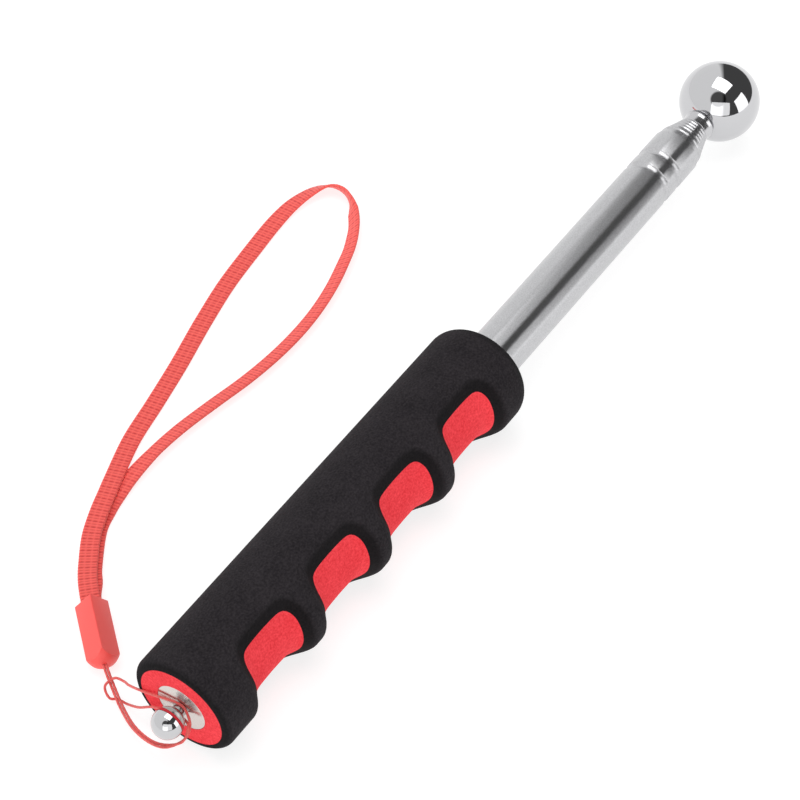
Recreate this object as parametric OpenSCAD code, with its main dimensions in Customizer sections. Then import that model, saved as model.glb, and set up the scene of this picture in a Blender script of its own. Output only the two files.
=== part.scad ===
// Telescopic sounding hammer: a polished steel ball on a six-section pull-out rod, with a
// layered foam grip and a wrist strap. It lies along X on a flat surface at Z = 0, ball
// towards +X, with the finger grooves of the grip facing -Y. All sizes are in millimetres.

/* [Grip] */
// Length of the foam grip
grip_length = 141.8; // [120:0.1:170]
// Outer diameter of the foam grip
grip_d = 31.5; // [28:0.5:36]
// Thickness of the black layer over the red inner foam
skin_wall = 2.75; // [1.5:0.05:3.5]
// Length of black foam that closes the front of the grip
front_wall = 5; // [3:0.5:8]
// Rounding of the grip's butt edge
butt_round = 2.4; // [1:0.1:2.6]
// Rounding of the grip's front edge
front_round = 6.6; // [3:0.1:8]

/* [Finger grooves] */
// Distance between two finger grooves
groove_pitch = 30.15; // [27:0.05:32]
// Distance from the butt to the middle of the first groove
groove_first = 25.3; // [20:0.1:30]
// Depth of a groove
groove_depth = 4.35; // [3:0.05:5]
// Length of the flat bottom of a groove
groove_flat = 17.1; // [10:0.1:18]
// Half angle of the constant-depth part of a groove
groove_half_angle = 27; // [15:1:35]
// Rounding where a groove wall meets the outside of the grip
groove_round = 2.4; // [0.5:0.1:3]

/* [Rod] */
// Outer diameter of the first tube
tube_d = 15.6; // [14:0.1:17]
// Wall thickness of the first tube
first_wall = 0.5; // [0.45:0.01:0.6]
// Wall thickness of every sliding tube
tube_wall = 0.3; // [0.25:0.01:0.4]
// How far the first tube is turned down where the foam is glued on
glue_seat = 0.18; // [0.17:0.01:0.22]
// Length of the first tube beyond the grip
tube_out = 107.8; // [80:0.1:130]
// How much smaller each further tube is than the one around it
d_step = 0.93; // [0.88:0.01:1]
// How far each closed tube stands out of the one around it
lip_step = 1.55; // [1:0.05:2.5]
// How much further in each closed tube starts than the one around it
rear_step = 12; // [11.5:0.5:16]
// Length of the taper at the first tube's front end
nose_length = 4.1; // [3:0.1:8]
// Length of the small taper at every other tube's front end
lip_taper = 1.2; // [0.8:0.1:1.5]

/* [Guide and spring bushes] */
// Width of a rolled groove in the first tube
roll_w = 2.8; // [1.4:0.1:3]
// Depth of a rolled groove
roll_depth = 0.5; // [0.3:0.05:0.6]
// Distance between the two rolled grooves
roll_pitch = 6.9; // [5:0.1:9]
// Distance from the second rolled groove to the lip
roll_to_lip = 14.5; // [9:0.1:15]
// Wall of the guide bush between the first tube and the second
guide_wall = 0.75; // [0.6:0.05:1]
// Length of the guide bush inside the first tube
guide_length = 13; // [11:0.5:16]
// Length of a spring bush
bush_length = 9.6; // [7:0.1:10]
// Width of the slit in a spring bush
bush_slit = 1; // [0.5:0.1:2]
// Radial clearance of every sliding fit
slide_gap = 0.05; // [0.02:0.01:0.09]

/* [Head] */
// Diameter of the striking ball
head_ball_d = 25; // [20:0.5:30]
// Diameter of the collar behind the ball
collar_d = 10; // [9.8:0.1:11]
// Length of the collar
collar_length = 3.9; // [2.5:0.1:5]
// Length of the dark neck between collar and ball at the collar's edge
seam = 0.55; // [0.3:0.05:1]
// Diameter of the stud that holds the ball
stud_d = 5; // [4:0.5:6]

/* [Tail] */
// Diameter of the tail ball
tail_ball_d = 8.8; // [7:0.1:10]
// Distance from the butt to the middle of the tail ball
tail_ball_out = 5.6; // [5.3:0.1:7]
// Diameter of the neck that the strap's string is looped around
neck_d = 4; // [3:0.1:4.4]
// Thickness of the tail plug's flange
flange = 1.2; // [0.8:0.1:2]
// Length of the tail plug inside the tube
plug_length = 5.8; // [4:0.1:6]

/* [Strap] */
// Width of the woven tape
tape_w = 5.4; // [4.6:0.1:5.4]
// Thickness of the woven tape
tape_t = 0.9; // [0.7:0.05:0.9]
// Diameter of the string
string_d = 0.75; // [0.6:0.05:0.8]
// Side of the square end bell
bell_side = 6.6; // [6.6:0.1:7.2]
// Wall of the end bell
bell_wall = 0.7; // [0.5:0.05:0.7]
// Length of the end bell
bell_length = 20.4; // [18:0.1:22]

/* [Hidden] */
$fn = 96;

axis_h = grip_d / 2;                       // height of the rod's axis above the surface
core_d = grip_d - 2 * skin_wall;
groove_d = grip_d - 2 * groove_depth;
tube_r = tube_d / 2;
bore_r = tube_r - first_wall;
seat_r = tube_r - glue_seat;
seat_end = grip_length + 0.5;
second_d = 2 * (bore_r - guide_wall - slide_gap); // outer diameter of the second tube
lip_1 = grip_length + tube_out;            // all lengths along the rod start at the butt
nose_r = second_d / 2 + slide_gap + tube_wall;
roll_2 = lip_1 - roll_to_lip;
roll_1 = roll_2 - roll_pitch;
guide_mid = (roll_1 + roll_2) / 2;
roll_rad = (roll_w * roll_w / 4 + roll_depth * roll_depth) / (2 * roll_depth);
seat_drop = 0.25;                          // how far a tube's rear end is turned down for its bush
rear_rim = 0.8;                            // rim left behind the bush
rear_2 = flange + plug_length + 1;
collar_back = lip_1 + 4 * lip_step + 0.3;
collar_front = collar_back + collar_length;
ball_x = collar_front + seam + sqrt(pow(head_ball_d / 2, 2) - pow(collar_d / 2 - 0.5, 2));
head_end = ball_x + head_ball_d / 2;
tail_end = -tail_ball_out - tail_ball_d / 2;
mid_x = (head_end + tail_end) / 2;

foam_black = [0.16, 0.15, 0.16];
foam_red = [0.95, 0.24, 0.27];
coral = [0.98, 0.36, 0.33];
steel = [0.76, 0.76, 0.77];
bright = [0.86, 0.86, 0.88];
brass = [0.78, 0.62, 0.32];

function tube_radius(n) = second_d / 2 - (n - 2) * d_step / 2;
function rear_x(n) = rear_2 + (n - 2) * rear_step;
function lip_x(n) = lip_1 + (n - 1) * lip_step;
function bore_around(n) = n == 2 ? bore_r : tube_radius(n - 1) - tube_wall;

// a body turned about the rod's axis, from a profile drawn as [radius, distance along the rod]
module turned() translate([-mid_x, 0, axis_h]) rotate([0, 90, 0]) rotate_extrude() children();

// ---- grip ----
function arc(x, y, r, from, to, n) =
    [for (i = [0:n]) let (t = from + (to - from) * i / n) [x + r * cos(t), y + r * sin(t)]];

module groove_profile() {
    top = grip_d / 2;
    bottom = groove_d / 2;
    half = groove_flat / 2;
    edge = half + top - bottom + groove_round * tan(22.5); // where the rounding meets the outside
    side = concat([[bottom - 0.01, half], [bottom, half]],
        arc(top - groove_round, edge, groove_round, -45, 0, 5), [[top + 1, edge + 0.2]]);
    polygon(concat(side, [for (i = [len(side) - 1:-1:0]) [side[i][0], -side[i][1]]]));
}

module groove_floor() { // cross-section that stays: a round front with flats running out
    a = groove_half_angle;
    r = groove_d / 2;
    f = r - 0.05;
    far = 20;
    circle(r);
    polygon([[-f * cos(a), f * sin(a)], [-f * cos(a) + far * sin(a), f * sin(a) + far * cos(a)],
             [25, f * sin(a) + far * cos(a)], [25, -f * sin(a) - far * cos(a)],
             [-f * cos(a) + far * sin(a), -f * sin(a) - far * cos(a)],
             [-f * cos(a), -f * sin(a)]]);
}

module finger_grooves() for (i = [0:3]) difference() {
    turned() translate([0, groove_first + i * groove_pitch]) groove_profile();
    translate([groove_first + i * groove_pitch - 16 - mid_x, 0, axis_h]) rotate([90, 0, 90])
        linear_extrude(32) groove_floor();
}

module grip_sleeve() color(foam_black) difference() {
    turned() polygon(concat([[core_d / 2, 0]],
        arc(grip_d / 2 - butt_round, butt_round, butt_round, -90, 0, 8),
        arc(grip_d / 2 - front_round, grip_length - front_round, front_round, 0, 90, 12),
        [[seat_r, grip_length], [seat_r, grip_length - front_wall],
         [core_d / 2, grip_length - front_wall]]));
    finger_grooves();
}

module grip_core() color(foam_red) difference() {
    turned() translate([seat_r, 0]) square([core_d / 2 - seat_r, grip_length - front_wall]);
    finger_grooves();
}

// ---- first tube and its guide bush ----
module outer_tube() color(steel) turned() difference() {
    union() {
        polygon([[bore_r, flange], [seat_r, flange], [seat_r, seat_end], [tube_r, seat_end],
                 [tube_r, lip_1 - nose_length], [bore_r, lip_1 - nose_length]]);
        polygon([[bore_r, lip_1 - nose_length], [tube_r, lip_1 - nose_length],
                 [nose_r, lip_1], [nose_r - tube_wall, lip_1]]);
        for (x = [roll_1, roll_2]) intersection() {
            translate([tube_r + roll_rad - roll_depth, x]) circle(roll_rad + first_wall);
            translate([second_d / 2, x - 4]) square([tube_r - second_d / 2, 8]);
        }
    }
    for (x = [roll_1, roll_2]) translate([tube_r + roll_rad - roll_depth, x]) circle(roll_rad);
}

module guide_bush() color(brass) turned() difference() {
    translate([second_d / 2 + slide_gap, guide_mid - guide_length / 2])
        square([bore_r - second_d / 2 - slide_gap, guide_length]);
    for (x = [roll_1, roll_2])
        translate([tube_r + roll_rad - roll_depth, x]) circle(roll_rad + first_wall);
}

// ---- tail ----
module tail_plug() color(bright) turned() {
    translate([neck_d / 2, 0]) square([seat_r - neck_d / 2, flange]);
    translate([neck_d / 2, flange]) square([bore_r - neck_d / 2, plug_length]);
}

module tail_ball() color(bright) translate([-mid_x, 0, axis_h]) {
    translate([-tail_ball_out, 0, 0]) rotate([0, 90, 0]) sphere(d = tail_ball_d);
    translate([-tail_ball_out, 0, 0]) rotate([0, 90, 0])
        cylinder(d = neck_d, h = tail_ball_out + flange + plug_length);
}

// ---- sliding tubes and their spring bushes ----
module sliding_tube(n) turned() {
    r = tube_radius(n);
    x = rear_x(n);
    end = n == 6 ? collar_back : lip_x(n) - lip_taper;
    seat = rear_rim + bush_length;
    polygon([[r, x], [r, x + rear_rim], [r - seat_drop, x + rear_rim], [r - seat_drop, x + seat],
             [r, x + seat], [r, end], [r - tube_wall, end], [r - tube_wall, x + seat + 0.6],
             [r - seat_drop - tube_wall, x + seat + 0.2], [r - seat_drop - tube_wall, x]]);
    if (n < 6) {
        lip = tube_radius(n + 1) + slide_gap;
        polygon([[r - tube_wall, end], [r, end], [lip + tube_wall, lip_x(n)], [lip, lip_x(n)]]);
    }
}

module spring_bush(n) difference() {
    r = tube_radius(n) - seat_drop;
    turned() translate([r, rear_x(n) + rear_rim])
        square([bore_around(n) - slide_gap - r, bush_length]);
    translate([rear_x(n) - mid_x, -bush_slit / 2, axis_h]) cube([bush_length + 2, bush_slit, 20]);
}

module second_tube() color(steel) sliding_tube(2);
module third_tube() color(steel) sliding_tube(3);
module fourth_tube() color(steel) sliding_tube(4);
module fifth_tube() color(steel) sliding_tube(5);
module sixth_tube() color(steel) sliding_tube(6);
module second_bush() color(brass) spring_bush(2);
module third_bush() color(brass) spring_bush(3);
module fourth_bush() color(brass) spring_bush(4);
module fifth_bush() color(brass) spring_bush(5);
module sixth_bush() color(brass) spring_bush(6);

// ---- head ----
plug_in = 12;                              // how far the collar's spigot reaches into the tube
stud_in_ball = 7.5;

module head_collar() color(bright) difference() {
    turned() difference() {
        union() {
            translate([0, collar_back - plug_in])
                square([tube_radius(6) - tube_wall, plug_in + 0.1]);
            translate([0, collar_back]) square([collar_d / 2 - 0.5, collar_length + 1.5]);
            translate([0, collar_back]) square([collar_d / 2, collar_length - 0.5]);
            translate([collar_d / 2 - 0.5, collar_front - 0.5]) circle(0.5);
        }
        translate([-1, collar_back - plug_in - 1])
            square([stud_d / 2 + 1, plug_in + collar_length + 4]);
    }
    translate([ball_x - mid_x, 0, axis_h]) rotate([0, 90, 0]) sphere(d = head_ball_d);
}

module head_stud() color(steel) translate([collar_back - plug_in + 2 - mid_x, 0, axis_h])
    rotate([0, 90, 0])
        cylinder(d = stud_d, h = ball_x - head_ball_d / 2 + stud_in_ball - collar_back + plug_in - 2);

module head_ball() color(bright) translate([ball_x - mid_x, 0, axis_h]) rotate([0, 90, 0])
    difference() {
        sphere(d = head_ball_d);
        translate([0, 0, -head_ball_d / 2 - 1]) cylinder(d = stud_d, h = stud_in_ball + 1.5);
    }

// ---- wrist strap ----
bell_dir = [0.657, 0.754, 0];              // from the string end to the mouth, level
bell_h = bell_side * sqrt(2) / 2;          // the bell lies on one long edge
bell_foot = [4.7, 30, bell_h];

// [along the rod from the butt, sideways, height above the surface, roll of the tape]
tape_route = [
    [15.4, 42.3, bell_h + 0.47, 0], [20, 47.5, bell_h + 0.45, 0], [24.6, 52, 4.1, 0],
    [29.8, 56, 3.25, 0], [37.1, 60.9, 2.6, 0], [45, 64.6, 2.2, 0], [52, 67.2, 1.95, 0],
    [57.7, 69.3, 1.7, 0], [71.2, 74, 0.85, 0], [85.6, 77, 0.6, 0], [100.1, 80.1, 0.6, 0],
    [109.8, 82.5, 0.6, 0], [119.6, 84.9, 0.6, 0], [134.9, 88.1, 0.6, 0],
    [151.4, 90.2, 0.6, 0], [163, 91.4, 0.79, 4], [172, 91.2, 1.2, 13],
    [179.1, 89.4, 1.74, 26], [183.3, 86.8, 2.29, 42], [184.8, 83.7, 2.64, 56],
    [184.5, 80.1, 2.86, 72], [182.6, 76.7, 2.86, 88], [179.1, 73.2, 2.7, 121],
    [175.2, 70.1, 2.58, 127], [171, 67.7, 2.4, 134], [166.5, 65.6, 2.29, 138],
    [161.7, 64, 2.17, 142], [151.9, 61.2, 2.07, 145], [141.6, 59.3, 1.96, 148],
    [130.8, 58.5, 1.81, 152], [119.3, 58.8, 1.74, 154], [107.2, 60.2, 1.7, 155],
    [94.6, 62.6, 1.66, 156], [82.2, 64.7, 1.66, 156], [70.9, 65.6, 1.7, 155],
    [60.7, 65.6, 1.3, 165], [53, 64.9, 0.85, 175], [47.1, 63.8, 0.65, 180],
    [40, 61.3, 0.95, 180], [29, 54, 2.2, 180], [24.6, 50.2, 3.1, 180],
    [20, 46.9, bell_h - 0.6, 180], [15.4, 42.3, bell_h - 0.47, 180]];

a = axis_h;
wrap = neck_d / 2 + string_d / 2 + 0.06;
legs = [[8, 33.8, bell_h], [4.7, 30, bell_h], [1.2, 24.6, 3.2], [-2.3, 18.8, 2.2],
    [-6, 11.8, 3.8], [-8.2, 4.5, 6.5], [-7.9, -0.8, a - 7.2], [-5.4, -4.6, a - 4.4],
    [-2.6, -4.5, a - 1.2]];
over = [[-0.6, -wrap * 0.75, a + wrap * 0.68], [-0.55, wrap * 0.25, a + wrap]];
upper = [[-0.7, 3.4, a + 1.7], [-0.9, 8, a + 0.1], [-0.5, 13.4, a - 2.6], [1, 18.6, a - 6.5],
    [2.7, 21.7, 6.2]];
bight = [[2.6, 25, 5.1], [-0.4, 25.9, 4.2], [-1.5, 23.8, 1.9], [-0.1, 21.9, 1]];
lower = [[0, 19, 1.2], [-1.2, 13.8, 5.6], [-1.6, 8.6, a - 5], [-1.5, 4, a - 2.7]];
under = [[-1.4, wrap * 0.25, a - wrap], [-1.45, -wrap * 0.75, a - wrap * 0.68]];

function unit(v) = v / norm(v);
function heading(p, i) = unit(p[min(i + 1, len(p) - 1)] - p[max(i - 1, 0)]);
function beside(p, k) = [for (i = [0:len(p) - 1])
    let (s = i > 6 ? [1, 0, 0] : unit(cross(heading(p, i), [0, 0, 1]))) p[i] + k * s];
function back_to_front(p) = [for (i = [len(p) - 1:-1:0]) p[i]];
function carried(p, i, u) = i == len(p) ? [] :
    let (d = heading(p, i), v = unit(u - (u * d) * d)) concat([v], carried(p, i + 1, v));

string_route = concat(beside(legs, 0.42), over, upper, bight, lower, under,
    back_to_front(beside(legs, -0.42)));

// a closed skin over rings of m points
module skin(rings, m) {
    n = len(rings);
    polyhedron(points = [for (r = rings) for (q = r) q], faces = concat(
        [[for (k = [0:m - 1]) k]], [[for (k = [m - 1:-1:0]) (n - 1) * m + k]],
        [for (i = [0:n - 2]) for (k = [0:m - 1])
            [i * m + k, (i + 1) * m + k, (i + 1) * m + (k + 1) % m]],
        [for (i = [0:n - 2]) for (k = [0:m - 1])
            [i * m + k, (i + 1) * m + (k + 1) % m, i * m + (k + 1) % m]]));
}

module strap_string() color(coral) translate([-mid_x, 0, 0]) {
    side = carried(string_route, 0, [0, 0, 1]);
    skin([for (i = [0:len(string_route) - 1])
        let (d = heading(string_route, i), u = side[i], v = cross(d, u))
        [for (k = [0:7]) string_route[i] + string_d / 2 * (cos(45 * k) * u + sin(45 * k) * v)]], 8);
}

module strap_tape() color(coral) translate([-mid_x, 0, 0]) {
    p = [for (q = tape_route) [q[0], q[1], q[2]]];
    w = tape_w / 2;
    t = tape_t / 2;
    c = 0.25;
    ring = [[w, t - c], [w - c, t], [c - w, t], [-w, t - c], [-w, c - t], [c - w, -t],
        [w - c, -t], [w, c - t]];
    skin([for (i = [0:len(p) - 1])
        let (d = heading(p, i), s = unit(cross([0, 0, 1], d)), u = cross(d, s),
             r = tape_route[i][3], e = -cos(r) * s + sin(r) * u, f = sin(r) * s + cos(r) * u)
        [for (q = ring) p[i] + q[0] * e + q[1] * f]], 8);
}

module strap_bell() color(coral)
    translate([bell_foot[0] - mid_x, bell_foot[1], bell_foot[2]])
    rotate([0, 0, atan2(bell_dir[1], bell_dir[0])]) rotate([0, 90, 0]) difference() {
        intersection() {
            rotate([0, 0, 45]) translate([-bell_side / 2, -bell_side / 2, 0])
                cube([bell_side, bell_side, bell_length]);
            union() {
                translate([0, 0, 5]) sphere(r = 5.2);
                translate([0, 0, 5]) cylinder(r = 5.2, h = bell_length);
            }
        }
        rotate([0, 0, 45]) translate([bell_wall - bell_side / 2, bell_wall - bell_side / 2, 8])
            cube([bell_side - 2 * bell_wall, bell_side - 2 * bell_wall, bell_length]);
        translate([0, 0, -1]) cylinder(d = 2.2, h = 10);
    }

grip_sleeve();
grip_core();
outer_tube();
guide_bush();
tail_plug();
tail_ball();
second_tube();
second_bush();
third_tube();
third_bush();
fourth_tube();
fourth_bush();
fifth_tube();
fifth_bush();
sixth_tube();
sixth_bush();
head_collar();
head_stud();
head_ball();
strap_string();
strap_bell();
strap_tape();
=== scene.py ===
import math
import bpy
import bmesh
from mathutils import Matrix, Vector


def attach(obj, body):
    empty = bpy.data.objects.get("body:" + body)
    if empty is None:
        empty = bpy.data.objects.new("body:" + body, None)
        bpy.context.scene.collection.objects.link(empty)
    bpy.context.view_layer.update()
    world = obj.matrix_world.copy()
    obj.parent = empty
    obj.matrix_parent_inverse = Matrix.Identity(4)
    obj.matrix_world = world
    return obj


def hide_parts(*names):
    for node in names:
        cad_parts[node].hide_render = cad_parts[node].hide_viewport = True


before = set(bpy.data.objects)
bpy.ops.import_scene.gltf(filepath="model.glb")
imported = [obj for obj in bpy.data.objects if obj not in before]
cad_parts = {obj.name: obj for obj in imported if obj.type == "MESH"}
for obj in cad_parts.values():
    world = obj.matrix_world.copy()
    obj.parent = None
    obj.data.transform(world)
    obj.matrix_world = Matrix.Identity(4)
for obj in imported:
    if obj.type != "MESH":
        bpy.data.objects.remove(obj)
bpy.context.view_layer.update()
bpy.ops.object.select_all(action="DESELECT")

# ---------------------------------------------------------------- camera
# A long lens looks down at the tool from behind its butt, so the rod runs up to the right
# and away, and the strap lies beside it.
AXIS = 0.01575  # height of the rod's axis above the surface

camera = bpy.data.objects.new("camera", bpy.data.cameras.new("camera"))
bpy.context.collection.objects.link(camera)
camera.data.sensor_width = 36
camera.data.lens = 121.56
camera.location = (-0.42176, -0.26526, 0.59689)
aim = Vector((-0.0207, 0.01255, AXIS)) - camera.location
camera.rotation_euler = aim.to_track_quat("-Z", "Y").to_euler()
bpy.context.scene.camera = camera

# ---------------------------------------------------------------- strap: string
# A thin two-ply polyester string, cast into the bell at both ends. Its legs go down round the
# tail ball's neck, over and under it, and back through a bight round themselves.
STRING_D = 0.75
PLY_TURN = 1.6  # length of one turn of the string's two plies
LEG_GAP = 0.38  # how far each leg lies from the middle between them
MID_X = 0.137356  # from the butt of the grip to the middle of the closed tool
BELL_H = 4.67  # height of the bell's middle, as it lies on one long edge
AT_NECK = 7  # the first point of the legs that lies at the tail ball's neck


def at(x, y, z):
    """A point in millimetres from the butt, sideways and above the surface, in metres."""
    return Vector((x / 1000 - MID_X, y / 1000, z / 1000))


def heading(points, i):
    return (points[min(i + 1, len(points) - 1)] - points[max(i - 1, 0)]).normalized()


def even_path(points, step):
    """A smooth curve through the points in even steps, each with its place in the list."""
    dense, place = [], []
    for i in range(len(points) - 1):
        a, b = points[max(i - 1, 0)], points[i]
        c, d = points[i + 1], points[min(i + 2, len(points) - 1)]
        for t in (k / 24 for k in range(24)):
            turn = (2 * a - 5 * b + 4 * c - d) * t * t + (3 * b - a - 3 * c + d) * t**3
            dense.append(0.5 * (2 * b + (c - a) * t + turn))
            place.append(i + t)
    dense.append(points[-1])
    place.append(len(points) - 1)
    run = [0.0]
    for p, q in zip(dense, dense[1:]):
        run.append(run[-1] + (q - p).length)
    count = round(run[-1] / step)
    path, places, j = [], [], 0
    for n in range(count + 1):
        s = run[-1] * n / count
        while j < len(run) - 2 and run[j + 1] < s:
            j += 1
        f = (s - run[j]) / (run[j + 1] - run[j])
        path.append(dense[j].lerp(dense[j + 1], f))
        places.append(place[j] + (place[j + 1] - place[j]) * f)
    return path, places, run[-1]


def skin(name, rings):
    """A closed skin over rings of points that run the same way round."""
    m = len(rings[0])
    last = (len(rings) - 1) * m
    faces = [
        (i + k, i + (k + 1) % m, i + m + (k + 1) % m, i + m + k)
        for i in range(0, last, m)
        for k in range(m)
    ]
    faces += [tuple(range(m - 1, -1, -1)), tuple(range(last, last + m))]
    mesh = bpy.data.meshes.new(name)
    mesh.from_pydata([p for ring in rings for p in ring], [], faces)
    mesh.shade_smooth()
    piece = bpy.data.objects.new(name, mesh)
    bpy.context.collection.objects.link(piece)
    return piece


def linear(code):
    """An sRGB hex value as linear red, green, blue and alpha."""
    part = [int(code[i : i + 2], 16) / 255 for i in (1, 3, 5)]
    return [p / 12.92 if p <= 0.04045 else ((p + 0.055) / 1.055) ** 2.4 for p in part] + [1]


def feed(made, inputs):
    """Sets a node's inputs, or links those whose value is another node's output."""
    for key, value in inputs.items():
        if isinstance(value, bpy.types.NodeSocket):
            made.id_data.links.new(value, made.inputs[key])
        else:
            made.inputs[key].default_value = value


def node(material, kind, inputs, **settings):
    """Adds a node with its inputs and settings."""
    made = material.node_tree.nodes.new(kind)
    for name, value in settings.items():
        setattr(made, name, value)
    feed(made, inputs)
    return made


def begin(name):
    """A new material and its Principled shader."""
    material = bpy.data.materials.new(name)
    material.use_nodes = True
    return material, material.node_tree.nodes["Principled BSDF"]


def finish_piece(piece, material, body, slot, *replaced):
    """Gives a piece its material and the body it moves with, and hides the CAD nodes it stands
    for.
    """
    piece.data.materials.clear()
    piece.data.materials.append(material)
    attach(piece, body)
    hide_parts(*replaced)


def beside(points, k):
    """The same legs moved k millimetres to one side: outwards, or along the rod at the neck."""
    moved = []
    for i, p in enumerate(points):
        outwards = heading(points, i).cross(Vector((0, 0, 1)))
        way = Vector((1, 0, 0)) if i >= AT_NECK else outwards
        moved.append(p + way.normalized() * k / 1000)
    return moved


axis_h = AXIS * 1000
wrap = 2.435  # from the rod's axis to the middle of the string on the neck
legs = [at(8, 33.8, BELL_H), at(4.7, 30, BELL_H), at(1.2, 24.6, 3.2), at(-2.3, 18.8, 2.2),
        at(-6, 11.8, 3.8), at(-8.2, 4.5, 6.5), at(-7.9, -0.8, axis_h - 7.2),
        at(-5.4, -4.6, axis_h - 4.4), at(-2.6, -4.5, axis_h - 1.2)]
over = [at(-0.6, -wrap * 0.75, axis_h + wrap * 0.68), at(-0.55, wrap * 0.25, axis_h + wrap)]
upper = [at(-0.7, 3.4, axis_h + 1.7), at(-0.9, 8, axis_h + 0.1), at(-0.5, 13.4, axis_h - 2.6),
         at(1, 18.6, axis_h - 6.5), at(2.7, 21.7, 6.2)]
bight = [at(2.6, 25, 5.1), at(-0.4, 25.9, 4.2), at(-1.5, 23.8, 1.9), at(-0.1, 21.9, 1)]
lower = [at(0, 19, 1.2), at(-1.2, 13.8, 5.6), at(-1.6, 8.6, axis_h - 5),
         at(-1.5, 4, axis_h - 2.7)]
under = [at(-1.4, wrap * 0.25, axis_h - wrap), at(-1.45, -wrap * 0.75, axis_h - wrap * 0.68)]
STRING_STEP = 0.16  # from one ring of the string's skin to the next
string_line, _, string_length = even_path(
    beside(legs, LEG_GAP) + over + upper + bight + lower + under + beside(legs, -LEG_GAP)[::-1],
    STRING_STEP / 1000,
)
side, rings = Vector((0, 0, 1)), []
for i, p in enumerate(string_line):
    d = heading(string_line, i)
    side = (side - d * side.dot(d)).normalized()
    up = d.cross(side)
    ply = math.pi * i * STRING_STEP / PLY_TURN
    rings.append([
        p + (side * math.cos(t) + up * math.sin(t))
        * (STRING_D / 2000 * (0.9 + 0.1 * abs(math.cos(t - ply))))
        for t in (math.pi * k / 6 for k in range(12))
    ])
string = skin("string", rings)

# Polyester filament yarn, dyed coral: satin thread whose plies show by their shadow, with a
# shade that wanders a little where the dye took unevenly.
yarn, shader = begin("polyester yarn, dyed coral")
place = node(yarn, "ShaderNodeTexCoord", {})
uneven = node(yarn, "ShaderNodeTexNoise", {"Vector": place.outputs["Object"], "Scale": 900.0})
shade = node(yarn, "ShaderNodeMix", {0: uneven.outputs[0], 6: linear("#cf3a3a"),
             7: linear("#f26a62")}, data_type="RGBA")
feed(shader, {"Base Color": shade.outputs[2], "Roughness": 0.55, "Sheen Weight": 0.25,
              "Sheen Roughness": 0.5})
finish_piece(string, yarn, "handle", "coral_tape", "strap_string")

# ---------------------------------------------------------------- strap: bell
# A square tube with a rounded foot, open at the mouth, injection-moulded in polypropylene. The
# tape's two ends are glued inside it, and the string's are cast into the foot.
BELL_SIDE, BELL_WALL, BELL_LENGTH = 0.0066, 0.0007, 0.0204
BELL_DEEP = 0.0124  # how deep the mouth is
FOOT_R, FOOT_MIDDLE = 0.0052, 0.005  # the foot's ball, and its middle from the foot's end
bell_way = Vector((0.657, 0.754, 0))  # from the foot to the mouth


def select(piece):
    bpy.ops.object.select_all(action="DESELECT")
    piece.select_set(True)
    bpy.context.view_layer.objects.active = piece


def change(piece, kind, **settings):
    """Adds a modifier and applies it."""
    select(piece)
    made = piece.modifiers.new(kind, kind)
    for name, value in settings.items():
        setattr(made, name, value)
    bpy.ops.object.modifier_apply(modifier=made.name)


def smooth(piece, degrees):
    """Shades a piece smooth except over edges sharper than this."""
    select(piece)
    bpy.ops.object.shade_smooth_by_angle(angle=math.radians(degrees))
    piece.select_set(False)


bpy.ops.mesh.primitive_cube_add(size=1)
bell = bpy.context.active_object
bell.name = "bell"
bell.scale = (BELL_SIDE, BELL_SIDE, BELL_LENGTH)
bell.location = (0, 0, BELL_LENGTH / 2)
bpy.ops.object.transform_apply(location=True, rotation=False, scale=True)
bpy.ops.object.mode_set(mode="EDIT")
bpy.ops.mesh.select_all(action="DESELECT")
mesh = bmesh.from_edit_mesh(bell.data)
for face in mesh.faces:
    face.select_set(face.normal.z > 0.9)
bmesh.update_edit_mesh(bell.data)
bpy.ops.mesh.inset(thickness=BELL_WALL)
bpy.ops.mesh.extrude_region_move(TRANSFORM_OT_translate={"value": (0, 0, -BELL_DEEP)})
bpy.ops.object.mode_set(mode="OBJECT")
change(bell, "BEVEL", width=0.0003, segments=3, limit_method="ANGLE", angle_limit=0.6)
# the foot is drawn in to a ball, whose upper half moves up past the mouth
bpy.ops.mesh.primitive_uv_sphere_add(segments=96, ring_count=48, radius=FOOT_R,
                                     location=(0, 0, FOOT_MIDDLE))
rounding = bpy.context.active_object
for v in rounding.data.vertices:
    if v.co.z > 1e-5:
        v.co.z += 0.016  # far enough that the mouth stays square
change(bell, "BOOLEAN", operation="INTERSECT", object=rounding, solver="EXACT")
bpy.data.objects.remove(rounding)
smooth(bell, 35)
bell.rotation_euler = (0, 0, math.pi / 4)
select(bell)
bpy.ops.object.transform_apply(location=False, rotation=True, scale=False)
bell.rotation_mode = "QUATERNION"
bell.rotation_quaternion = bell_way.to_track_quat("Z", "Y")
bell.location = at(4.7, 30, BELL_H)
bpy.ops.object.transform_apply(location=True, rotation=True, scale=True)

# Polypropylene, moulded, coral: satin, a little translucent, with the mould's fine spark-eroded
# grain.
plastic, shader = begin("polypropylene, moulded, coral")
place = node(plastic, "ShaderNodeTexCoord", {})
grain = node(plastic, "ShaderNodeTexNoise", {"Vector": place.outputs["Object"], "Scale": 3500.0})
relief = node(plastic, "ShaderNodeBump", {"Height": grain.outputs[0], "Strength": 0.3,
              "Distance": 0.00003})
feed(shader, {"Base Color": linear("#ff5751"), "Roughness": 0.42, "IOR": 1.49,
              "Subsurface Weight": 0.1, "Subsurface Radius": (0.002, 0.0006, 0.0004),
              "Subsurface Scale": 1.0, "Normal": relief.outputs[0]})
finish_piece(bell, plastic, "handle", "coral_plastic", "strap_bell")

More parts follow.
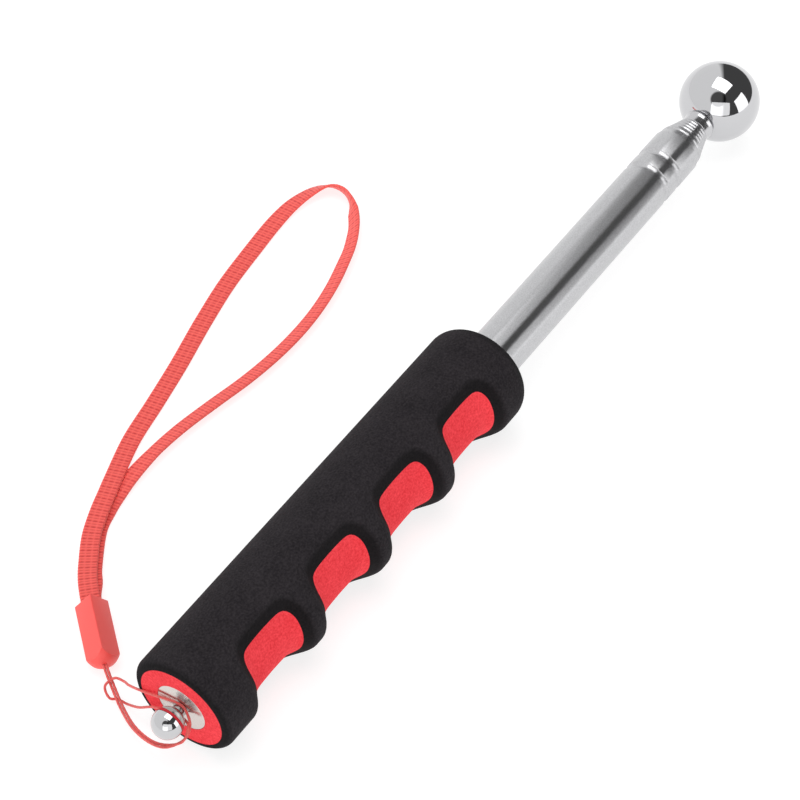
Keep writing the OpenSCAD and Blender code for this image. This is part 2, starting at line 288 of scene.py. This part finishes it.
# ---------------------------------------------------------------- strap: tape
# A flat polyester tape, 5.4 mm wide, woven in ribs across it that three columns of yarn bind. It
# leaves the bell flat, turns over round the end of its loop and comes back underneath.
TAPE_W, TAPE_T = 5.4, 0.9
RIB = 1.06  # from one rib of the weave to the next
RIB_PAIR = (0.0, 0.5, 1.0, 0.8, 0.3, 0.8, 1.0, 0.5)  # how high two ribs stand, in quarters
COLUMNS = 3
ACROSS = 18  # faces across the tape
# along the rod from the butt, sideways, height above the surface, roll of the tape
tape_route = [
    (15.4, 42.3, BELL_H + 0.47, 0), (20, 47.5, BELL_H + 0.45, 0), (24.6, 52, 4.1, 0),
    (29.8, 56, 3.25, 0), (37.1, 60.9, 2.6, 0), (45, 64.6, 2.2, 0), (52, 67.2, 1.95, 0),
    (57.7, 69.3, 1.7, 0), (71.2, 74, 0.85, 0), (85.6, 77, 0.6, 0), (100.1, 80.1, 0.6, 0),
    (109.8, 82.5, 0.6, 0), (119.6, 84.9, 0.6, 0), (134.9, 88.1, 0.6, 0),
    (151.4, 90.2, 0.6, 0), (163, 91.28, 0.79, 4), (172, 91.12, 1.2, 13),
    (179.1, 89.4, 1.74, 26), (183.3, 86.8, 2.29, 42), (184.8, 83.7, 2.64, 56),
    (184.5, 80.1, 2.86, 72), (182.6, 76.7, 2.86, 88), (179.1, 73.2, 2.7, 121),
    (175.2, 70.1, 2.58, 127), (171, 67.7, 2.4, 134), (166.5, 65.6, 2.29, 138),
    (161.7, 64, 2.17, 142), (151.9, 61.2, 2.07, 145), (141.6, 59.3, 1.96, 148),
    (130.8, 58.5, 1.81, 152), (119.3, 58.8, 1.74, 154), (107.2, 60.2, 1.7, 155),
    (94.6, 62.6, 1.66, 156), (82.2, 64.7, 1.66, 156), (70.9, 65.6, 1.7, 155),
    (60.7, 65.6, 1.3, 165), (53, 64.9, 0.85, 175), (47.1, 63.8, 0.65, 180),
    (40, 61.3, 0.95, 180), (29, 54, 2.2, 180), (24.6, 50.2, 3.1, 180),
    (20, 46.9, BELL_H - 0.6, 180), (15.4, 42.3, BELL_H - 0.47, 180),
]
tape_line, tape_place, tape_length = even_path([at(*q[:3]) for q in tape_route], RIB / 4000)
tape_step = tape_length / (len(tape_line) - 1)
rings, crowns = [], []
for i, p in enumerate(tape_line):
    d = heading(tape_line, i)
    side = Vector((0, 0, 1)).cross(d).normalized()
    up = d.cross(side)
    j = min(int(tape_place[i]), len(tape_route) - 2)
    roll = math.radians(tape_route[j][3] + (tape_route[j + 1][3] - tape_route[j][3])
                        * (tape_place[i] - j))
    wide = -side * math.cos(roll) + up * math.sin(roll)
    thick = side * math.sin(roll) + up * math.cos(roll)
    s = i * tape_step * 1000
    ring = []
    for k in range(2 * ACROSS + 2):
        top = k <= ACROSS
        u = (k if top else 2 * ACROSS + 1 - k) / ACROSS
        bound = 0.3 + 0.7 * abs(math.sin(math.pi * u * COLUMNS)) ** 0.7
        crown = 1 - (1 - RIB_PAIR[i % 8]) * bound
        edge = math.sqrt(1 - abs(2 * u - 1) ** 14)
        t = (TAPE_T / 2 - 0.12 + 0.12 * crown) * (0.55 + 0.45 * edge) * (1 if top else -1)
        x = (0.5 - u) * (TAPE_W - 0.06 + 0.06 * math.cos(2 * math.pi * s / RIB))
        ring.append(p + wide * (x / 1000) + thick * (t / 1000))
        crowns.append(crown)
    rings.append(ring[::-1])
    crowns[-len(ring):] = crowns[-len(ring):][::-1]
tape = skin("tape", rings)
tape.data.attributes.new("crown", "FLOAT", "POINT").data.foreach_set("value", crowns)

# Polyester tape, woven, coral: matte yarn with a fuzz of broken filaments, and painted shade that
# makes it lightest on the crowns of the ribs and darker where it dives between them.
weave, shader = begin("polyester tape, woven, coral")
place = node(weave, "ShaderNodeTexCoord", {})
fuzz = node(weave, "ShaderNodeTexNoise", {"Vector": place.outputs["Object"], "Scale": 2600.0,
            "Detail": 3.0})
crown = node(weave, "ShaderNodeAttribute", {}, attribute_name="crown")
# painted shade: the colour darkens where the ribs sink between their crowns
painted_rib_shade = node(weave, "ShaderNodeMix", {0: crown.outputs["Fac"], 6: linear("#c92c2e"),
            7: linear("#ff7068")}, data_type="RGBA")
fuzz_and_rib_shade = node(weave, "ShaderNodeMix", {0: fuzz.outputs[0], 6: painted_rib_shade.outputs[2],
            7: linear("#ffccc4")}, data_type="RGBA", blend_type="MULTIPLY")
relief = node(weave, "ShaderNodeBump", {"Height": fuzz.outputs[0], "Strength": 0.35,
              "Distance": 0.00006})
feed(shader, {"Base Color": fuzz_and_rib_shade.outputs[2], "Roughness": 0.7, "Sheen Weight": 0.3,
              "Sheen Roughness": 0.4, "Normal": relief.outputs[0]})
finish_piece(tape, weave, "handle", "coral_tape", "strap_tape")

# ---------------------------------------------------------------- grip
# Two layers of EVA foam tube, glued on the first tube of the rod: a black sleeve with a closed
# front over a red core. Four finger grooves are ground through the sleeve into the core.
GRIP, GRIP_R, CORE_R = 141.8, 15.75, 13
FRONT_WALL = 5
BUTT_ROUND, FRONT_ROUND = 2.4, 6.6
SEAT_R = 7.62  # radius of the first tube under the foam
GROOVE_R = 11.3
GROOVE_FIRST, GROOVE_PITCH = 25.3, 30.15
GROOVE_HALF = 8.95  # half length of a groove's floor; its walls rise at 45 degrees
GROOVE_TURN = math.radians(27)  # half the angle that the floor follows round the rod
GROOVE_ROUND, GROOVE_FILLET = 0.8, 1.8
GROOVE_CORNER = 1.1  # 1 would be a chamfered corner, more makes it sharper
RING_STEP = 0.5  # from one ring of the sleeve's skin to the next


def arc(x, r, radius, start, end, count):
    """Points of an arc in an outline, its angles in degrees from the way to the ball."""
    turns = [math.radians(start + (end - start) * i / count) for i in range(count + 1)]
    return [(x + radius * math.cos(t), r + radius * math.sin(t)) for t in turns]


def turned(name, outline, closed=True, steps=128):
    """A piece turned about the rod's axis from its (distance from the butt, radius) outline."""
    mesh = bpy.data.meshes.new(name)
    edges = [(i, i + 1) for i in range(len(outline) - 1)]
    edges += [(len(outline) - 1, 0)] if closed else []
    mesh.from_pydata([at(x, 0, AXIS * 1000 + r) for x, r in outline], edges, [])
    piece = bpy.data.objects.new(name, mesh)
    bpy.context.collection.objects.link(piece)
    select(piece)
    bpy.ops.object.mode_set(mode="EDIT")
    bpy.ops.mesh.select_all(action="SELECT")
    bpy.ops.mesh.spin(steps=steps, angle=2 * math.pi, center=(0, 0, AXIS), axis=(1, 0, 0))
    bpy.ops.mesh.select_all(action="SELECT")
    bpy.ops.mesh.remove_doubles(threshold=1e-6)
    bpy.ops.mesh.normals_make_consistent(inside=False)
    bpy.ops.object.mode_set(mode="OBJECT")
    piece.select_set(False)
    return piece


def groove_radius(x, turn):
    """The radius that the grooves leave at a distance from the butt and a turn from -Y."""
    x -= GROOVE_FIRST + GROOVE_PITCH * min(max(round((x - GROOVE_FIRST) / GROOVE_PITCH), 0), 3)
    wall = abs(x) - GROOVE_HALF
    along = (wall + math.hypot(wall, GROOVE_FILLET)) / 2
    beyond = min(max(abs(turn) - GROOVE_TURN, 0), math.radians(50))
    around = GROOVE_R / math.cos(beyond) - GROOVE_R
    rise = (along**GROOVE_CORNER + around**GROOVE_CORNER) ** (1 / GROOVE_CORNER)
    over = GROOVE_R + rise - GRIP_R
    rounding = max(GROOVE_ROUND - abs(over), 0) ** 2 / (4 * GROOVE_ROUND)
    return GRIP_R + min(over, 0) - rounding


sleeve = turned(
    "grip_sleeve_foam",
    [(0, 0)] + arc(BUTT_ROUND, GRIP_R - BUTT_ROUND, BUTT_ROUND, 180, 90, 8)
    + [(BUTT_ROUND + RING_STEP * i, GRIP_R)
       for i in range(1, int((GRIP - FRONT_ROUND - BUTT_ROUND) / RING_STEP) + 1)]
    + arc(GRIP - FRONT_ROUND, GRIP_R - FRONT_ROUND, FRONT_ROUND, 90, 0, 16) + [(GRIP, 0)],
    closed=False, steps=256,
)
for v in sleeve.data.vertices:
    across = Vector((0, v.co.y, v.co.z - AXIS))
    if across.length > CORE_R / 1000:
        left = groove_radius((v.co.x + MID_X) * 1000, math.atan2(across.z, -across.y)) / 1000
        v.co -= across.normalized() * max(0, across.length - left)


def carve(piece, tool, operation):
    change(piece, "BOOLEAN", operation=operation, object=tool, solver="EXACT")
    bpy.data.objects.remove(tool)


core = sleeve.copy()
core.data = sleeve.data.copy()
core.name = "grip_core_foam"
bpy.context.collection.objects.link(core)
carve(core, turned("inner", [(-1, SEAT_R + 0.02), (-1, CORE_R), (GRIP - FRONT_WALL, CORE_R),
                   (GRIP - FRONT_WALL, SEAT_R + 0.02)], steps=256), "INTERSECT")
carve(sleeve, turned("inner_and_bore", [(-1, 0), (-1, CORE_R), (GRIP - FRONT_WALL, CORE_R),
                     (GRIP - FRONT_WALL, SEAT_R + 0.02), (GRIP + 1, SEAT_R + 0.02),
                     (GRIP + 1, 0)], closed=False, steps=256), "DIFFERENCE")
smooth(sleeve, 35)
smooth(core, 35)

# EVA foam, ground: matte, with a skin of cut cells about 0.4 mm across that shows as a fine
# grain. The black is a charcoal with paler specks, and its groove walls are darkened by painted
# shade.
for foam_piece, name, dark, light, painted_shade_factor, node_name, slot in (
    (sleeve, "EVA foam, ground, black", "#1d1a1d", "#322e31", 0.38, "grip_sleeve", "black_foam"),
    (core, "EVA foam, ground, red", "#e4343c", "#fd4e56", 1.0, "grip_core", "red_foam"),
):
    foam, shader = begin(name)
    place = node(foam, "ShaderNodeTexCoord", {})
    cells = node(foam, "ShaderNodeTexNoise", {"Vector": place.outputs["Object"],
                 "Scale": 1700.0, "Detail": 3.0})
    clouds = node(foam, "ShaderNodeTexNoise", {"Vector": place.outputs["Object"],
                  "Scale": 120.0, "Detail": 2.0})
    both = node(foam, "ShaderNodeMix", {0: 0.25, 2: cells.outputs[0], 3: clouds.outputs[0]})
    specks = node(foam, "ShaderNodeMapRange", {"Value": both.outputs[0], "From Min": 0.35,
                  "From Max": 0.68})
    tone = node(foam, "ShaderNodeMix", {0: specks.outputs[0], 6: linear(dark),
                7: linear(light)}, data_type="RGBA")
    centred = node(foam, "ShaderNodeMapping", {"Vector": place.outputs["Object"],
                   "Location": (0.0, 0.0, -AXIS), "Scale": (0.0, 1.0, 1.0)})
    far_out = node(foam, "ShaderNodeVectorMath", {0: centred.outputs[0]}, operation="LENGTH")
    # painted shade: below 14.6 mm radius the colour is darkened to the row's factor, rising to
    # full at 15.6 mm, so the groove walls look shaded (the red core's factor is 1, so it stays
    # unshaded)
    painted_groove_shade = node(foam, "ShaderNodeMapRange", {"Value": far_out.outputs["Value"],
               "From Min": 0.0146, "From Max": 0.0156, "To Min": painted_shade_factor, "To Max": 1.0})
    colour = node(foam, "ShaderNodeVectorMath", {0: tone.outputs[2], "Scale": painted_groove_shade.outputs[0]},
                  operation="SCALE")
    relief = node(foam, "ShaderNodeBump", {"Height": cells.outputs[0], "Strength": 0.6,
                  "Distance": 0.00015})
    feed(shader, {"Base Color": colour.outputs[0], "Roughness": 0.9,
                  "Specular IOR Level": 0.15, "Normal": relief.outputs[0]})
    finish_piece(foam_piece, foam, "handle", slot, node_name)

# ---------------------------------------------------------------- first tube and guide bush
# Stainless steel tube, turned down under the foam, with a tapered nose. Two rolled grooves hold
# a brass guide bush inside it, which the second tube slides through.
TUBE_R, TUBE_BORE = 7.8, 7.3
TUBE_END = 249.6
ROLLS = (228.2, 235.1)
ROLL_R, ROLL_OUT = 2.21, 1.66  # a groove's radius, and its middle's distance from the tube's skin
ROLL_WALL = 0.45  # wall of the tube under a groove


def lip(x, r):
    """The rounded edge at the front of a tube whose mouth has this inner radius."""
    return [(x - 0.12, r + 0.3), (x - 0.03, r + 0.27), (x, r + 0.2), (x, r + 0.1),
            (x - 0.03, r + 0.03), (x - 0.12, r)]


outline = [(1.2, SEAT_R), (GRIP + 0.5, SEAT_R), (GRIP + 0.5, TUBE_R)]
for x in ROLLS:
    outline += [(x - 1.52, TUBE_R), (x - 1.4, TUBE_R - 0.03)]
    outline += arc(x, TUBE_R + ROLL_OUT, ROLL_R, 233, 307, 14)
    outline += [(x + 1.4, TUBE_R - 0.03), (x + 1.52, TUBE_R)]
# the nose: a shoulder, and a shallow ring before the lip
outline += [(245.2, TUBE_R), (245.45, 7.77), (245.7, 7.7), (246.0, 7.58), (246.25, 7.51),
            (246.8, 7.43), (247.05, 7.34), (247.3, 7.16), (247.45, 7.12), (247.6, 7.14),
            (247.95, 7.25), (248.15, 7.27), (248.8, 7.17), (249.2, 7.06)]
outline += lip(TUBE_END, 6.55)
outline += [(245.4, TUBE_BORE - 0.3), (243.5, TUBE_BORE)]
for x in ROLLS[::-1]:
    outline += arc(x, TUBE_R + ROLL_OUT, ROLL_R + ROLL_WALL, 305, 235, 8)
outline += [(1.2, TUBE_BORE)]
tube = turned("first_tube", outline)
smooth(tube, 30)

# Stainless steel, ring-brushed: a satin finish from grit held against the turning tube. Its
# scratches run round it, so reflections smear along it, and a fine grain of grit marks shows.
steel, shader = begin("stainless steel, ring-brushed")
place = node(steel, "ShaderNodeTexCoord", {})
stretch = node(steel, "ShaderNodeMapping", {"Vector": place.outputs["Object"],
               "Scale": (6000.0, 500.0, 500.0)})
scratches = node(steel, "ShaderNodeTexNoise", {"Vector": stretch.outputs[0], "Scale": 1.0,
                 "Detail": 2.0})
grit = node(steel, "ShaderNodeTexNoise", {"Vector": place.outputs["Object"], "Scale": 2600.0,
            "Detail": 3.0})
tone = node(steel, "ShaderNodeMix", {0: grit.outputs[0], 6: linear("#a4a4a6"),
            7: linear("#dadadc")}, data_type="RGBA")
lines = node(steel, "ShaderNodeBump", {"Height": scratches.outputs[0], "Strength": 0.1,
             "Distance": 0.00001})
relief = node(steel, "ShaderNodeBump", {"Height": grit.outputs[0], "Strength": 0.35,
              "Distance": 0.00001, "Normal": lines.outputs[0]})
around = node(steel, "ShaderNodeTangent", {}, direction_type="RADIAL", axis="X")
feed(shader, {"Base Color": tone.outputs[2], "Metallic": 1.0, "Roughness": 0.28,
              "Anisotropic": 0.9, "Anisotropic Rotation": 0.25,
              "Normal": relief.outputs[0], "Tangent": around.outputs[0]})
finish_piece(tube, steel, "handle", "tube_steel", "outer_tube")

# Brass, turned: the bushes show only when the rod is pulled apart, a warm satin metal with fine
# tool rings.
brass, shader = begin("brass, turned")
place = node(brass, "ShaderNodeTexCoord", {})
stretch = node(brass, "ShaderNodeMapping", {"Vector": place.outputs["Object"],
               "Scale": (3000.0, 40.0, 40.0)})
rings_of = node(brass, "ShaderNodeTexNoise", {"Vector": stretch.outputs[0], "Scale": 1.0})
tone = node(brass, "ShaderNodeMix", {0: rings_of.outputs[0], 6: linear("#a87f3c"),
            7: linear("#d8b268")}, data_type="RGBA")
feed(shader, {"Base Color": tone.outputs[2], "Metallic": 1.0, "Roughness": 0.3})
for name in ("guide", "second", "third", "fourth", "fifth", "sixth"):
    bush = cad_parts[name + "_bush"]
    bush.data.materials.clear()
    bush.data.materials.append(brass)

# ---------------------------------------------------------------- tail plug and tail ball
# A turned steel plug is pressed into the tube's rear end until its flange is flush with the
# foam. The tail ball's neck goes through it, and the strap's string is looped round the neck.
NECK_R, TAIL_BALL_R, TAIL_BALL_X = 2, 4.4, -5.6

plug = turned("tail_plug_metal", [(0, NECK_R), (0, SEAT_R - 0.2), (0.06, SEAT_R - 0.06),
              (0.2, SEAT_R), (1.2, SEAT_R), (1.2, TUBE_BORE), (7, TUBE_BORE), (7, NECK_R)])
smooth(plug, 25)
neck_at = math.degrees(math.asin(NECK_R / TAIL_BALL_R))
tail = turned("tail_ball_metal", arc(TAIL_BALL_X, 0, TAIL_BALL_R, 180, neck_at, 40)
              + [(7, NECK_R), (7, 0)], closed=False)
smooth(tail, 25)

# Steel, turned and nickel-plated: the flange keeps the concentric marks of facing, so it shows
# two pale lobes with a darker band between them.
faced, shader = begin("steel, faced and nickel-plated")
place = node(faced, "ShaderNodeTexCoord", {})
centred = node(faced, "ShaderNodeMapping", {"Vector": place.outputs["Object"],
               "Location": (0.0, 0.0, -AXIS), "Scale": (0.0, 1.0, 1.0)})
far_out = node(faced, "ShaderNodeVectorMath", {0: centred.outputs[0]}, operation="LENGTH")
cuts = node(faced, "ShaderNodeTexNoise", {"W": far_out.outputs["Value"], "Scale": 5000.0},
            noise_dimensions="1D")
relief = node(faced, "ShaderNodeBump", {"Height": cuts.outputs[0], "Strength": 0.35,
              "Distance": 0.00001})
round_it = node(faced, "ShaderNodeTangent", {}, direction_type="RADIAL", axis="X")
feed(shader, {"Base Color": linear("#d2cdc8"), "Metallic": 1.0, "Roughness": 0.24,
              "Anisotropic": 0.8, "Anisotropic Rotation": 0.25,
              "Normal": relief.outputs[0], "Tangent": round_it.outputs[0]})
finish_piece(plug, faced, "handle", "polished_steel", "tail_plug")

# Steel, polished and chromed: a mirror with only a trace of haze and wiping marks.
chrome, shader = begin("steel, polished and chromed")
place = node(chrome, "ShaderNodeTexCoord", {})
haze = node(chrome, "ShaderNodeTexNoise", {"Vector": place.outputs["Object"], "Scale": 300.0,
            "Detail": 4.0})
dull = node(chrome, "ShaderNodeMapRange", {"Value": haze.outputs[0], "To Min": 0.02,
            "To Max": 0.07})
feed(shader, {"Base Color": linear("#c6c6c8"), "Metallic": 1.0, "Roughness": dull.outputs[0]})
finish_piece(tail, chrome, "handle", "polished_steel", "tail_ball")

# ---------------------------------------------------------------- sliding tubes
# Five thinner tubes nest in the first, each with a split brass spring bush round its rear end
# and, at the front, a fine rolled ring and a lip drawn in round the next. Closed, only the rings
# and lips show, one inside the other.
WALL = 0.3
SECOND_R, STEP = 6.5, 0.465  # radius of the second tube, and how much smaller each next one is
COLLAR_BACK = 256.1


def tube_radius(n):
    return SECOND_R - (n - 2) * STEP


for n, name in enumerate(("second", "third", "fourth", "fifth", "sixth"), 2):
    r, x = tube_radius(n), 8 + 12 * (n - 2)
    outline = [(x, r - 0.55), (x, r), (x + 0.8, r), (x + 0.8, r - 0.25), (x + 10.4, r - 0.25),
               (x + 10.4, r)]
    if n < 6:
        front = TUBE_END + 1.55 * (n - 1)
        outline += [(front - 1.75, r), (front - 1.6, r - 0.12), (front - 1.45, r - 0.2),
                    (front - 1.2, r - 0.2), (front - 0.85, r - 0.03), (front - 0.7, r),
                    (front - 0.35, r - 0.02)]
        outline += lip(front, tube_radius(n + 1) + 0.05)
        outline += [(front - 1.2, r - WALL)]
    else:
        outline += [(COLLAR_BACK, r), (COLLAR_BACK, r - WALL)]
    outline += [(x + 11, r - WALL), (x + 10.6, r - 0.55)]
    piece = turned(name + "_tube_metal", outline)
    smooth(piece, 30)
    finish_piece(piece, steel, name + "_section", "tube_steel", name + "_tube")

# ---------------------------------------------------------------- head
# The striking ball, a polished steel ball, is screwed on a stud. Behind it a turned collar closes
# the last tube, its front dished to seat the ball and its spigot pressed into the tube.
BALL_R, BALL_X = 12.5, 272.212
COLLAR_R, COLLAR_FRONT = 5, 260
NECK_OF_SEAT = 4
STUD_R = 2.5

seat_at = math.degrees(math.asin(NECK_OF_SEAT / BALL_R))
hole_at = math.degrees(math.asin(STUD_R / BALL_R))
spigot_r = tube_radius(6) - WALL
collar = turned(
    "collar_metal",
    [(COLLAR_BACK - 12, STUD_R), (COLLAR_BACK - 12, spigot_r - 0.3),
     (COLLAR_BACK - 11.7, spigot_r), (COLLAR_BACK, spigot_r), (COLLAR_BACK, COLLAR_R - 0.45),
     (COLLAR_BACK + 0.15, COLLAR_R - 0.3), (COLLAR_FRONT - 1.6, COLLAR_R - 0.3),
     (COLLAR_FRONT - 1.3, COLLAR_R - 0.25), (COLLAR_FRONT - 0.6, COLLAR_R - 0.02)]
    + arc(COLLAR_FRONT - 0.35, COLLAR_R - 0.35, 0.35, 90, 0, 6)
    + [(COLLAR_FRONT - 0.1, NECK_OF_SEAT)]
    + arc(BALL_X, 0, BALL_R + 0.01, 180 - seat_at, 180 - hole_at, 6),
)
smooth(collar, 30)

# Steel, turned and chromed: bright, with fine tool rings that soften what it mirrors.
turned_steel, shader = begin("steel, turned and chromed")
place = node(turned_steel, "ShaderNodeTexCoord", {})
stretch = node(turned_steel, "ShaderNodeMapping", {"Vector": place.outputs["Object"],
               "Scale": (5000.0, 100.0, 100.0)})
tool_rings = node(turned_steel, "ShaderNodeTexNoise", {"Vector": stretch.outputs[0],
                  "Scale": 1.0, "Detail": 2.0})
relief = node(turned_steel, "ShaderNodeBump", {"Height": tool_rings.outputs[0],
              "Strength": 0.3, "Distance": 0.00001})
feed(shader, {"Base Color": linear("#c4c4c6"), "Metallic": 1.0, "Roughness": 0.2,
              "Normal": relief.outputs[0]})
finish_piece(collar, turned_steel, "sixth_section", "polished_steel", "head_collar")

ball = turned("striking_ball", [(BALL_X - 4.5, 0), (BALL_X - 4.5, STUD_R)]
              + arc(BALL_X, 0, BALL_R, 180 - hole_at, 0, 72), closed=False, steps=160)
smooth(ball, 40)
finish_piece(ball, chrome, "sixth_section", "polished_steel", "head_ball")

# Steel, zinc-plated, as screws are: the stud hides in the ball and the collar.
zinc, shader = begin("steel, zinc-plated")
place = node(zinc, "ShaderNodeTexCoord", {})
spangle = node(zinc, "ShaderNodeTexVoronoi", {"Vector": place.outputs["Object"],
               "Scale": 1500.0})
tone = node(zinc, "ShaderNodeMix", {0: spangle.outputs[0], 6: linear("#8f9296"),
            7: linear("#b4b7ba")}, data_type="RGBA")
feed(shader, {"Base Color": tone.outputs[2], "Metallic": 1.0, "Roughness": 0.38})
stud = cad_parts["head_stud"]
stud.data.materials.clear()
stud.data.materials.append(zinc)

# ---------------------------------------------------------------- studio
# A plain white floor, lit from below as well so that shadows on it stay faint, in a darker room
# with soft boxes and a white wall, so that the mirror surfaces have something to show.
bpy.ops.mesh.primitive_plane_add(size=60)
floor = bpy.context.active_object
floor.name = "floor"
acrylic, shader = begin("acrylic, opal white")
feed(shader, {"Base Color": (0.35, 0.35, 0.35, 1), "Roughness": 1.0, "Specular IOR Level": 0.0,
              "Emission Color": (1, 1, 1, 1), "Emission Strength": 0.78})
floor.data.materials.append(acrylic)

# name, place, what it points at, width and height, and brightness
for name, place, target, size, bright in (
    ("overhead box", (0.2, -0.02, 1.4), (0.2, -0.02, 0), (0.9, 1.1), 2.7),
    ("side box", (0.33, -1.15, 0.4), (0.13, 0, 0.02), (0.8, 0.8), 1.8),
    ("back box", (-0.92, -0.64, 0.5), (0.13, 0, 0.02), (1.3, 0.9), 1.15),
):
    lamp = bpy.data.objects.new(name, bpy.data.lights.new(name, "AREA"))
    bpy.context.collection.objects.link(lamp)
    lamp.data.shape = "RECTANGLE"
    lamp.data.size, lamp.data.size_y = size
    lamp.data.energy = bright * math.pi * size[0] * size[1]
    lamp.location = place
    away = Vector(target) - Vector(place)
    lamp.rotation_euler = away.to_track_quat("-Z", "Y").to_euler()

# white curtains round the side of the room that the strap lies on, with a dark gap behind the
# camera, and dark beyond the rod
room = bpy.data.worlds.new("room")
room.use_nodes = True
bpy.context.scene.world = room
view = node(room, "ShaderNodeTexCoord", {})
side = node(room, "ShaderNodeVectorMath", {0: view.outputs["Generated"], 1: (-0.55, 0.83, 0.0)},
            operation="DOT_PRODUCT")
curtain = node(room, "ShaderNodeMapRange", {"Value": side.outputs["Value"], "From Min": -0.14,
               "From Max": -0.01, "To Min": 0.08, "To Max": 1.0})
back = node(room, "ShaderNodeVectorMath", {0: view.outputs["Generated"],
            1: (-0.62, -0.22, 0.75)}, operation="DOT_PRODUCT")
gap = node(room, "ShaderNodeMapRange", {"Value": back.outputs["Value"], "From Min": 0.91,
              "From Max": 0.94, "To Min": 1.0, "To Max": 0.1})
glow = node(room, "ShaderNodeMath", {0: curtain.outputs[0], 1: gap.outputs[0]},
            operation="MULTIPLY")
feed(room.node_tree.nodes["Background"], {"Color": glow.outputs[0]})
bpy.context.scene.view_settings.view_transform = "Standard"
